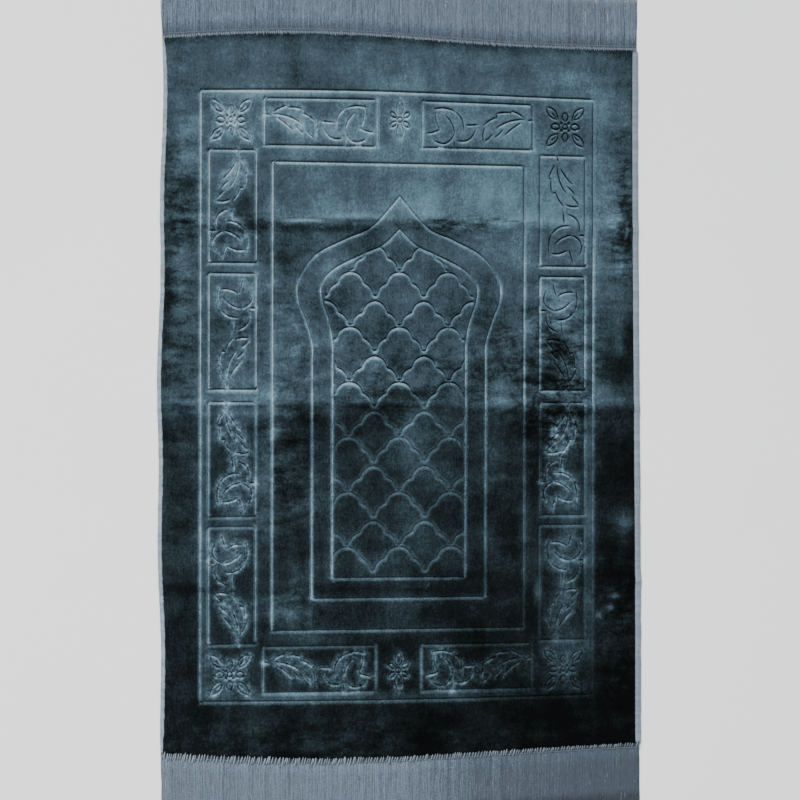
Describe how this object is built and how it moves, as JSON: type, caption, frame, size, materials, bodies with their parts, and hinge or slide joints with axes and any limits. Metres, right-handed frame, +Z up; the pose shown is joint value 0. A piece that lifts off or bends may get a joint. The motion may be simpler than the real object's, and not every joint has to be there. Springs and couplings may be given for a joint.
{
  "type": "prayer rug",
  "caption": "Flat plush prayer rug with a pointed niche, trellis and floral border pressed into the pile, bound long sides and a fringe at each end.",
  "frame": {"origin": "centre of the bounding box, on the floor the rug lies on", "axes": "+Z up out of the pile, +Y along the rug towards the tip of the niche, +X to its right"},
  "size_m": [0.8172, 1.4206, 0.012],
  "materials": {
    "pile_mat": "short brushed plush pile",
    "side_binding_left": "satin tape",
    "side_binding_right": "satin tape",
    "fringe_far": "loose threads",
    "fringe_near": "loose threads"
  },
  "bodies": {
    "root": {"pile_mat": "pile_mat", "side_binding_left": "side_binding_left", "side_binding_right": "side_binding_right", "fringe_far": "fringe_far", "fringe_near": "fringe_near"}
  },
  "joints": []
}
